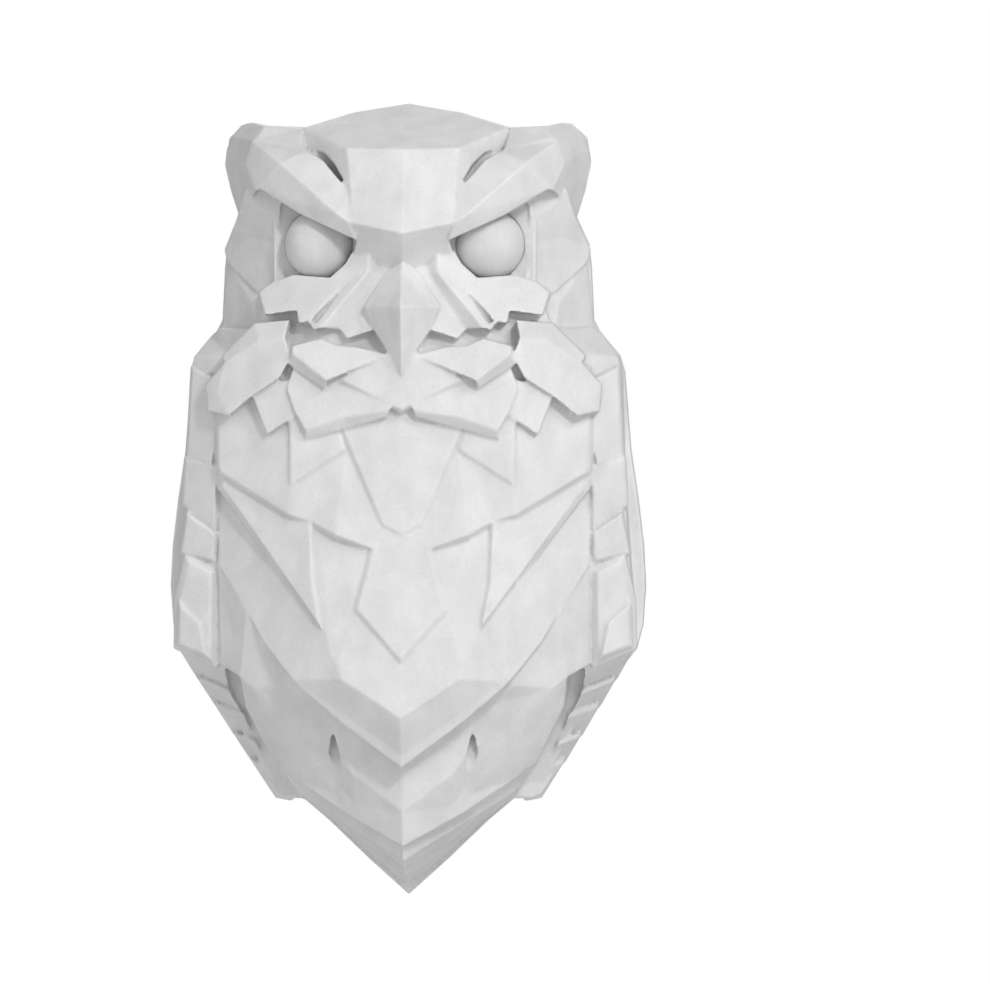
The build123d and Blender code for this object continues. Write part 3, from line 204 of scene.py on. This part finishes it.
class Shading:
    """One material's nodes, with short names for what is used often."""

    def __init__(self, name, colour, roughness, metallic=0.0, **sockets):
        self.material = bpy.data.materials.new(name)
        self.material.use_nodes = True
        self.tree = self.material.node_tree
        self.shader = self.tree.nodes["Principled BSDF"]
        self.place = self.add("ShaderNodeTexCoord").outputs["Object"]
        self.set("Base Color", (*colour, 1))
        self.set("Roughness", roughness)
        self.set("Metallic", metallic)
        for socket, value in sockets.items():
            self.set(socket.replace("_", " "), value)

    def add(self, kind, **settings):
        node = self.tree.nodes.new(kind)
        for key, value in settings.items():
            setattr(node, key, value)
        return node

    def set(self, socket, value):
        self.shader.inputs[socket].default_value = value

    def join(self, start, end):
        self.tree.links.new(start, end)

    def stretched(self, scale):
        """The object's coordinates, scaled along each axis."""
        node = self.add("ShaderNodeMapping")
        node.inputs["Scale"].default_value = scale
        self.join(self.place, node.inputs["Vector"])
        return node.outputs["Vector"]

    def slanted(self, degrees):
        """The object's coordinates, turned about the axis that points at the wall."""
        node = self.add("ShaderNodeMapping")
        node.inputs["Rotation"].default_value = (0, math.radians(degrees), 0)
        self.join(self.place, node.inputs["Vector"])
        return node.outputs["Vector"]

    def noise(self, size, detail=3.0, scale=(1, 1, 1)):
        """Cloudy noise, its blobs about `size` across."""
        node = self.add("ShaderNodeTexNoise")
        node.inputs["Scale"].default_value = 1 / size
        node.inputs["Detail"].default_value = detail
        self.join(self.stretched(scale), node.inputs["Vector"])
        return node.outputs["Fac"]

    def lines(self, direction, pitch, wobble=0.0, detail=1.0, place=None):
        """Even lines across one axis, from 0 to 1."""
        node = self.add("ShaderNodeTexWave", bands_direction=direction)
        node.inputs["Scale"].default_value = WAVE_PERIOD / pitch
        node.inputs["Distortion"].default_value = wobble
        node.inputs["Detail"].default_value = detail
        self.join(self.place if place is None else place, node.inputs["Vector"])
        return node.outputs["Fac"]

    def math(self, operation, first, second):
        node = self.add("ShaderNodeMath", operation=operation)
        for socket, value in zip(node.inputs, (first, second)):
            if isinstance(value, (int, float)):
                socket.default_value = value
            else:
                self.join(value, socket)
        return node.outputs[0]

    def ramp(self, fac, *stops):
        """Colours over a value: each stop is (place, colour or grey)."""
        node = self.add("ShaderNodeValToRGB")
        elements = node.color_ramp.elements
        while len(elements) < len(stops):
            elements.new(0.5)
        for element, (place, colour) in zip(elements, stops):
            element.position = place
            element.color = (colour,) * 3 + (1,) if isinstance(colour, float) else (*colour, 1)
        self.join(fac, node.inputs["Fac"])
        return node.outputs["Color"]

    def mixed(self, fac, first, second, blend="MIX"):
        """Two colours mixed; fac may be a number or a socket."""
        node = self.add("ShaderNodeMix", data_type="RGBA", blend_type=blend)
        sockets = [s for s in node.inputs if s.type == "RGBA"]
        for socket, value in zip([node.inputs["Factor"], *sockets], (fac, first, second)):
            if isinstance(value, (int, float)):
                socket.default_value = value
            elif isinstance(value, tuple):
                socket.default_value = (*value, 1)
            else:
                self.join(value, socket)
        return [s for s in node.outputs if s.type == "RGBA"][0]

    def bump(self, height, depth, strength=1.0):
        """Adds relief, `depth` deep where the height goes from 0 to 1."""
        node = self.add("ShaderNodeBump")
        node.inputs["Strength"].default_value = strength
        node.inputs["Distance"].default_value = depth
        self.join(height, node.inputs["Height"])
        links = self.shader.inputs["Normal"].links
        if links:
            self.join(links[0].from_socket, node.inputs["Normal"])
        self.join(node.outputs["Normal"], self.shader.inputs["Normal"])

    def feed(self, socket, value):
        self.join(value, self.shader.inputs[socket])

    def clouds(self, tint, dim, size, detail=3.0, stops=(0.3, 0.7), scale=(1, 1, 1)):
        """Soft clouds, from `dim` times a tint up to the tint itself."""
        shadow = tuple(dim * c for c in tint)
        return self.ramp(self.noise(size, detail, scale), (stops[0], shadow), (stops[1], tint))

    def smudges(self, size, shiny, dull, detail=3.0, stops=(0.3, 0.7)):
        """Lets the roughness drift between two values."""
        self.feed("Roughness", self.ramp(self.noise(size, detail), (stops[0], shiny), (stops[1], dull)))


# ---------------------------------------------------------------- materials
def printed_plastic(name, tint=(0.80, 0.80, 0.80)):
    """White matt printing plastic: faint layers, a slight mottle, painted highlights along edges and
    painted shade in creases.
    """
    made = Shading(name, tint, roughness=0.62, Specular_IOR_Level=0.32)
    mottle = made.clouds(tint, 0.90, 7 * MM, detail=6.0, stops=(0.34, 0.66), scale=(1, 1, 0.7))
    grain = made.ramp(made.noise(0.7 * MM, detail=2.0), (0.25, 0.93), (0.75, 1.0))
    colour = made.mixed(1.0, mottle, grain, "MULTIPLY")
    # painted light: the colour is made lighter on sharp edges as a painted highlight and darker in creases
    # as painted shade
    pointiness = made.add("ShaderNodeNewGeometry").outputs["Pointiness"]
    painted_crease_shade, flat, edge = (0.42, 0.72), (0.488, 0.95), (0.53, 1.0)
    colour = made.mixed(1.0, colour, made.ramp(pointiness, painted_crease_shade, flat, edge), "MULTIPLY")
    made.feed("Base Color", colour)
    made.smudges(3 * MM, shiny=0.56, dull=0.70)
    made.bump(made.lines("Y", LAYER_HEIGHT, wobble=0.4), depth=0.012 * MM, strength=0.5)
    made.bump(made.noise(0.5 * MM), depth=0.03 * MM, strength=0.6)
    return made.material


def smooth_plastic(name, tint, roughness):
    """Moulded plastic: an even colour with slight clouds and a fine grain."""
    made = Shading(name, tint, roughness, Specular_IOR_Level=0.4)
    made.feed("Base Color", made.clouds(tint, 0.95, 6 * MM, detail=4.0))
    made.smudges(2 * MM, shiny=roughness - 0.05, dull=roughness + 0.06)
    made.bump(made.noise(0.25 * MM, detail=2.0), depth=0.006 * MM, strength=0.6)
    return made.material


def frame_plastic(name, tint):
    """Printed plastic whose flat faces show the slanting lines of the first layer."""
    made = Shading(name, tint, roughness=0.6, Specular_IOR_Level=0.32)
    strokes = made.lines("X", 0.42 * MM, wobble=0.3, detail=2.0, place=made.slanted(45))
    cloud = made.clouds(tint, 0.94, 12 * MM, detail=5.0)
    made.feed("Base Color", made.mixed(1.0, cloud, made.ramp(strokes, (0.0, 0.95), (0.6, 1.0)), "MULTIPLY"))
    made.smudges(2 * MM, shiny=0.5, dull=0.66)
    made.bump(strokes, depth=0.02 * MM, strength=0.6)
    made.bump(made.lines("Y", LAYER_HEIGHT, wobble=0.3), depth=0.015 * MM, strength=0.5)
    return made.material


def plated_metal(name, tint, roughness, brush=None, wear=0.85, smudge=0.1):
    """Bare or plated metal: cloudy colour, smudged gloss and, with brush, fine lines along that axis."""
    made = Shading(name, tint, roughness, metallic=1.0)
    made.feed("Base Color", made.clouds(tint, wear, 3 * MM, detail=5.0, stops=(0.3, 0.72)))
    shiny, dull = roughness - smudge / 2, roughness + smudge
    made.smudges(1.2 * MM, shiny, dull, detail=4.0, stops=(0.3, 0.75))
    if brush:
        scale = [1.0, 1.0, 1.0]
        scale["XYZ".index(brush)] = 0.02
        made.bump(made.noise(0.12 * MM, detail=2.0, scale=scale), depth=0.006 * MM, strength=0.5)
    made.bump(made.noise(0.8 * MM), depth=0.008 * MM, strength=0.4)
    return made.material


def crumpled_foil(name, tint):
    """The pouch of a flat cell: soft creases with painted shade in their hollows, and a dull shine."""
    made = Shading(name, tint, roughness=0.34, metallic=1.0)
    creases_and_painted_shade = made.noise(2.2 * MM, detail=6.0)
    # the noise that raises the creases also darkens the colour in their hollows: painted shade
    made.feed("Base Color", made.ramp(creases_and_painted_shade, (0.3, tuple(0.8 * c for c in tint)), (0.7, tint)))
    made.smudges(1 * MM, shiny=0.26, dull=0.44)
    made.bump(creases_and_painted_shade, depth=0.12 * MM, strength=0.7)
    return made.material


def circuit_board(name, mask, trace):
    """Solder mask with slightly raised traces under it."""
    made = Shading(name, mask, roughness=0.35, Coat_Weight=0.3, Coat_Roughness=0.2)
    along = made.ramp(made.lines("X", 1.3 * MM, wobble=0.5), (0.42, 0.0), (0.5, 1.0))
    blocks = made.noise(2.5 * MM, detail=0.0, scale=(0.6, 1, 0.25))
    across = made.ramp(blocks, (0.46, 0.0), (0.5, 1.0))
    tracks = made.math("MULTIPLY", along, across)
    made.feed("Base Color", made.mixed(tracks, mask, trace))
    made.smudges(1 * MM, shiny=0.3, dull=0.42)
    made.bump(tracks, depth=0.03 * MM, strength=0.8)
    return made.material


def soft_rubber(name, tint):
    """Dull rubber with a fine grain and dusty patches."""
    made = Shading(name, tint, roughness=0.8, Specular_IOR_Level=0.3)
    dusty = tuple(min(1.7 * c + 0.02, 1) for c in tint)
    made.feed("Base Color", made.ramp(made.noise(1.5 * MM, detail=5.0), (0.35, tint), (0.8, dusty)))
    made.smudges(0.8 * MM, shiny=0.7, dull=0.9)
    made.bump(made.noise(0.2 * MM), depth=0.02 * MM, strength=0.7)
    return made.material


def opal_diffuser(name, tint):
    """Milky plastic with fine ribs along the bar."""
    made = Shading(name, tint, roughness=0.38, Transmission_Weight=0.25, IOR=1.49)
    made.feed("Base Color", made.clouds(tint, 0.96, 5 * MM))
    made.smudges(1.5 * MM, shiny=0.33, dull=0.45)
    made.bump(made.lines("X", 0.8 * MM), depth=0.04 * MM, strength=0.5)
    return made.material


def phosphor(name, tint):
    """The yellow gel of a light-emitting chip."""
    made = Shading(name, tint, roughness=0.28, Specular_IOR_Level=0.5, Coat_Weight=0.4, Coat_Roughness=0.1)
    made.feed("Base Color", made.clouds(tint, 0.86, 0.4 * MM, detail=4.0))
    made.smudges(0.6 * MM, shiny=0.22, dull=0.36)
    made.bump(made.noise(0.15 * MM), depth=0.01 * MM, strength=0.5)
    return made.material


# ---------------------------------------------------------------- screws and inserts
SCREW_SIDES = 28
HEAD_ROUNDING = 0.12 * MM
THREAD_PITCH = 0.55 * MM  # about: whole turns fill the length
THREAD_LEAD = 0.1 * MM  # plain core between head and thread
SCREW_TIP = 0.3 * MM
CORE = 0.8  # of the shank's radius
POINT = 0.7  # of the core's radius
CREST_START, CREST_END = 0.42, 0.55  # of a turn
CROSS_ARM, CROSS_HALF_WIDTH = 0.58, 0.15  # of the head's radius
CROSS_TAPER = 0.55  # the recess's foot against its mouth
CROSS_DEPTH = 0.9 * MM  # at most

INSERT_SIDES = 48
INSERT_TURNS = 8
INSERT_LEAD = 0.1 * MM  # the chamfer at either end of the bore
INSERT_THREAD = 0.18 * MM  # deep
FULL, CHAMFERED, WAIST = 1.0, 0.96, 0.88  # of the insert's radius
KNURL = 0.95  # every other line of a knurled band is this much lower


def cross_head(builder, matrix, rim, radius, depth):
    """Closes a screw's head inside its rim with a flat face and a tapered cross recess."""
    arm, half = CROSS_ARM * radius, CROSS_HALF_WIDTH * radius
    corner = [(arm, -half), (arm, half), (half, half)]
    outline = []
    for quarter in range(4):
        turn = Matrix.Rotation(math.radians(90 * quarter), 2)
        outline += [turn @ Vector(point) for point in corner]
    top = [builder.verts.new(matrix @ Vector((x, y, 0))) for x, y in outline]
    narrowed = [(CROSS_TAPER * x, CROSS_TAPER * y) for x, y in outline]
    foot = [builder.verts.new(matrix @ Vector((x, y, -depth))) for x, y in narrowed]
    loops = []
    for ring in (rim, top):
        for pair in zip(ring, ring[1:] + ring[:1]):
            loops.append(builder.edges.get(pair) or builder.edges.new(pair))
    bmesh.ops.triangle_fill(builder, use_beauty=True, use_dissolve=False, edges=loops)
    for k, vertex in enumerate(top):
        after = (k + 1) % len(top)
        builder.faces.new((vertex, top[after], foot[after], foot[k]))
    builder.faces.new(foot)


def screw_profile(length, head_radius, head_end, shank, straight_head):
    """(radius, height) down a screw from its head's rim to its tip."""
    core = CORE * shank
    profile = [(head_radius - HEAD_ROUNDING, 0), (head_radius, -HEAD_ROUNDING)]
    if straight_head:
        profile += [(head_radius, -head_end + HEAD_ROUNDING), (head_radius - HEAD_ROUNDING, -head_end)]
    profile += [(core, -head_end - HAIR)]
    turns = max(int((length - head_end) / THREAD_PITCH) - 1, 1)
    pitch = (length - head_end - THREAD_LEAD - SCREW_TIP) / turns
    for turn in range(turns):
        start = -head_end - THREAD_LEAD - turn * pitch
        profile += [(core, start), (shank, start - CREST_START * pitch), (shank, start - CREST_END * pitch)]
    profile += [(core, -length + SCREW_TIP), (POINT * core, -length)]
    return profile


def screw(builder, corners):
    """A threaded screw with a cross recess, in the space of one plain CAD screw."""
    low, high = corner_range(corners)
    middle = (low + high) / 2
    axis = max(range(3), key=lambda k: high[k] - low[k])

    def radius(corner):
        return math.hypot(*[corner[k] - middle[k] for k in range(3) if k != axis])

    head_radius = max(radius(c) for c in corners)
    widest = next(c for c in corners if radius(c) > head_radius - HAIR)
    outward = 1.0 if widest[axis] > middle[axis] else -1.0
    face = high[axis] if outward > 0 else low[axis]
    depths = sorted((outward * (face - c[axis]), radius(c)) for c in corners)
    length = depths[-1][0]
    # the shank is measured at the tip, and the head ends at the last corners of the upper half
    shank = min(r for d, r in depths if d > 0.9 * length)
    head_end = max(d for d, r in depths if d < 0.5 * length)
    straight_head = max(r for d, r in depths if abs(d - head_end) < HAIR) > 1.3 * shank

    direction = Vector([outward if k == axis else 0.0 for k in range(3)])
    place = middle.copy()
    place[axis] = face
    matrix = Matrix.Translation(place) @ direction.to_track_quat("Z", "Y").to_matrix().to_4x4()
    profile = screw_profile(length, head_radius, head_end, shank, straight_head)
    rows = turned(builder, matrix, profile, SCREW_SIDES)
    cross_head(builder, matrix, rows[0], head_radius, min(CROSS_DEPTH, 0.5 * head_radius))
    builder.faces.new(rows[-1])


def insert(builder, corners):
    """A threaded brass insert with two knurled bands, in the space of one plain CAD insert."""
    low, high = corner_range(corners)
    middle = (low + high) / 2
    outer = (high.x - low.x) / 2
    length = high.y - low.y
    bore = min(math.hypot(c.x - middle.x, c.z - middle.z) for c in corners)
    bands = [
        (0.0, CHAMFERED), (0.04, FULL), (0.4, FULL), (0.44, WAIST),
        (0.56, WAIST), (0.6, FULL), (0.96, FULL), (1.0, CHAMFERED),
    ]
    profile = [(outer * scale, -length * place) for place, scale in bands]
    profile.append((bore + INSERT_LEAD, -length))
    for turn in range(INSERT_TURNS, 0, -1):
        crest = (bore, -length * turn / INSERT_TURNS + INSERT_LEAD)
        root = (bore + INSERT_THREAD, -length * (turn - 0.5) / INSERT_TURNS)
        profile += [crest, root]
    profile.append((bore + INSERT_LEAD, 0))
    profile.append(profile[0])

    def knurl(step, row):
        on_band = row < len(bands) and bands[row][1] == FULL
        return KNURL if on_band and step % 2 else 1.0

    matrix = Matrix.Translation((middle.x, high.y, middle.z)) @ Matrix.Rotation(math.radians(-90), 4, "X")
    turned(builder, matrix, profile, INSERT_SIDES, knurl)


def rebuilt(node, name, maker, material, body):
    """Each solid of a CAD node made again with its detail, as one piece that stands for the node."""
    builder = bmesh.new()
    for corners in islands(node):
        maker(builder, corners)
    bmesh.ops.remove_doubles(builder, verts=builder.verts, dist=0.001 * MM)
    bmesh.ops.recalc_face_normals(builder, faces=builder.faces)
    piece = piece_from(builder, name, material)
    shade(piece)
    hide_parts(node)
    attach(piece, body)


def fixings():
    """Every screw and insert."""
    steel = plated_metal("screw_zinc", (0.60, 0.61, 0.62), 0.3)
    for node in ("frame_screws", "hanger_screws", "cradle_screws"):
        rebuilt(node, f"{node}_cut", screw, steel, "owl")
    rebuilt("bar_screws", "bar_screws_cut", screw, steel, "light_bar")
    brass = plated_metal("insert_brass", (0.78, 0.60, 0.30), 0.3)
    rebuilt("shell_inserts", "shell_inserts_knurled", insert, brass, "owl")


# ---------------------------------------------------------------- CAD nodes that keep their own meshes
def frame_and_hanger():
    """The eye domes, the rear frame with its hanger and pads, and the tray for the light bar."""
    # the eyes are the shell's own white plastic, painted a little darker (0.76 against 0.80) as shade
    eye = printed_plastic("eye_white_painted_shade", (0.76, 0.76, 0.76))
    for node in ("eye_dome_right", "eye_dome_left"):
        softened(node, 0.15 * MM, eye)
    printed = frame_plastic("frame_white", (0.78, 0.78, 0.77))
    softened("rear_frame", 0.25 * MM, printed)
    softened("lamp_cradle", 0.25 * MM, printed)
    zinc = plated_metal("hanger_zinc", (0.66, 0.67, 0.68), 0.34, brush="X")
    softened("hanger_plate", 0.2 * MM, zinc)
    softened("strike_plates", 0.12 * MM, zinc)
    softened("wall_pads", 0.5 * MM, soft_rubber("pad_rubber", (0.05, 0.05, 0.05)), 3)


def light_bar():
    """The bar that pulls out behind: housing, caps, magnets, boards, cell and switch."""
    anodised = plated_metal("anodised_bar", (0.75, 0.76, 0.77), 0.42, brush="Z", wear=0.97, smudge=0.03)
    softened("bar_housing", 0.25 * MM, anodised)
    cap = smooth_plastic("cap_grey", (0.55, 0.56, 0.57), 0.5)
    softened("bar_end_cap_top", 0.3 * MM, cap)
    softened("bar_end_cap_bottom", 0.3 * MM, cap)
    nickel = plated_metal("magnet_nickel", (0.75, 0.75, 0.74), 0.16)
    softened("bar_magnets", 0.2 * MM, nickel)
    softened("charge_socket", 0.15 * MM, nickel)
    softened("bar_diffuser", 0.3 * MM, opal_diffuser("opal", (0.92, 0.92, 0.89)))
    softened("led_board", 0.08 * MM, circuit_board("board_white", (0.86, 0.86, 0.84), (0.74, 0.74, 0.70)))
    softened("led_chips", 0.1 * MM, phosphor("chip_yellow", (0.85, 0.64, 0.14)))
    softened("battery_cell", 0.5 * MM, crumpled_foil("cell_foil", (0.70, 0.71, 0.72)), 3)
    green = circuit_board("board_green", (0.01, 0.09, 0.035), (0.03, 0.18, 0.08))
    softened("control_board", 0.08 * MM, green)
    softened("battery_leads", 0.1 * MM, soft_rubber("lead_red", (0.40, 0.02, 0.02)))
    softened("mode_switch", 0.12 * MM, plated_metal("switch_case", (0.60, 0.61, 0.62), 0.28, brush="Z"))
    softened("switch_knob", 0.12 * MM, smooth_plastic("knob_black", (0.02, 0.02, 0.02), 0.45))


# ---------------------------------------------------------------- the figure
def figure():
    """The printed owl: the CAD shape with its creases softened as a print's are."""
    piece = welded_copy("owl_shell", "owl_figure")
    remesh = piece.modifiers.new("remesh", "REMESH")
    remesh.mode = "VOXEL"
    remesh.voxel_size = FIGURE_VOXEL
    smooth = piece.modifiers.new("smooth", "SMOOTH")
    smooth.factor = 0.5
    smooth.iterations = 2
    settled(piece)
    thin = piece.modifiers.new("thin", "DECIMATE")
    triangles = 2 * len(piece.data.polygons)  # the remesh leaves faces of four sides
    thin.ratio = min(1.0, FIGURE_TRIANGLES / triangles)
    settled(piece)
    shade(piece, sharp_degrees=60)
    piece.data.materials.clear()
    piece.data.materials.append(printed_plastic("shell_white"))
    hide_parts("owl_shell")
    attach(piece, "owl")


# ---------------------------------------------------------------- camera, light and floor
def bearing(azimuth, elevation):
    """The direction from the figure to a place in front of it; azimuth, in degrees, turns to +X."""
    a, e = math.radians(azimuth), math.radians(elevation)
    return Vector((math.sin(a) * math.cos(e), -math.cos(a) * math.cos(e), math.sin(e)))


def camera():
    """A long lens just right of and above the figure's middle."""
    low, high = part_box("rear_frame")
    middle = Vector(((low.x + high.x) / 2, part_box("owl_shell")[0].y / 2, (low.z + high.z) / 2))
    back = bearing(CAMERA_AZIMUTH, CAMERA_ELEVATION)
    right = bearing(CAMERA_AZIMUTH + 90, 0)
    data = bpy.data.cameras.new("camera")
    data.sensor_width = SENSOR_WIDTH
    data.lens = SENSOR_WIDTH * CAMERA_DISTANCE / VIEW_WIDTH
    eye = link(bpy.data.objects.new("camera", data))
    eye.location = middle + back * CAMERA_DISTANCE
    aim = middle + right * VIEW_OFFSET[0] + Vector((0, 0, VIEW_OFFSET[1]))
    eye.rotation_euler = (aim - eye.location).to_track_quat("-Z", "Y").to_euler()
    bpy.context.scene.camera = eye


def softbox(name, azimuth, elevation, size, watts):
    """A square lamp that faces the figure from a direction given as the camera's is."""
    low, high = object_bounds()
    middle = (low + high) / 2
    towards = bearing(azimuth, elevation)
    data = bpy.data.lights.new(name, "AREA")
    data.size = size
    data.energy = watts
    lamp = link(bpy.data.objects.new(name, data))
    lamp.location = middle + towards * LAMP_DISTANCE
    lamp.rotation_euler = (-towards).to_track_quat("-Z", "Y").to_euler()


def surroundings():
    """White all round where the camera looks, dimmer as a light, and a pale floor well below the figure."""
    world = bpy.data.worlds.new("white")
    bpy.context.scene.world = world
    world.use_nodes = True
    tree = world.node_tree
    shown = tree.nodes["Background"]
    shown.inputs["Color"].default_value = (1, 1, 1, 1)
    lighting = tree.nodes.new("ShaderNodeBackground")
    lighting.inputs["Color"].default_value = (AMBIENT,) * 3 + (1,)
    path = tree.nodes.new("ShaderNodeLightPath")
    either = tree.nodes.new("ShaderNodeMixShader")
    tree.links.new(path.outputs["Is Camera Ray"], either.inputs[0])
    tree.links.new(lighting.outputs[0], either.inputs[1])
    tree.links.new(shown.outputs[0], either.inputs[2])
    tree.links.new(either.outputs[0], tree.nodes["World Output"].inputs["Surface"])

    builder = bmesh.new()
    bmesh.ops.create_circle(builder, cap_ends=True, segments=96, radius=FLOOR_RADIUS)
    made = Shading("floor_white", (0.86, 0.86, 0.86), 0.8)
    floor = piece_from(builder, "floor", made.material)
    floor.location.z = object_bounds()[0].z - FLOOR_DROP
    floor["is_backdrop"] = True


def lighting():
    """A small key lamp, a weaker one above and right of it, large lamps round the front and one behind."""
    softbox("key", *KEY_FROM, SMALL, KEY_WATTS)
    softbox("key_high", *KEY_HIGH_FROM, SMALL, KEY_WATTS / 2)
    for elevation in FILL_ELEVATIONS:
        for azimuth in FILL_AZIMUTHS:
            softbox(f"fill_{azimuth}_{elevation}", azimuth, elevation, LARGE, FILL_WATTS)
    softbox("behind", *BACK_FROM, LARGE, BACK_WATTS)
    bpy.context.scene.view_settings.view_transform = "Standard"


# ---------------------------------------------------------------- everything
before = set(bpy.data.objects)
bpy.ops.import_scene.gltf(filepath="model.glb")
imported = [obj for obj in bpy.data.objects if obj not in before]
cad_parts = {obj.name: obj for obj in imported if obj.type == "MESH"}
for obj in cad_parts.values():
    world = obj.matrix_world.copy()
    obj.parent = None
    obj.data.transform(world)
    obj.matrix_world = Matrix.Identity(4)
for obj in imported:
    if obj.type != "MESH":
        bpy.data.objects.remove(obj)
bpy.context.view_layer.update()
camera()
figure()
frame_and_hanger()
light_bar()
fixings()
surroundings()
lighting()
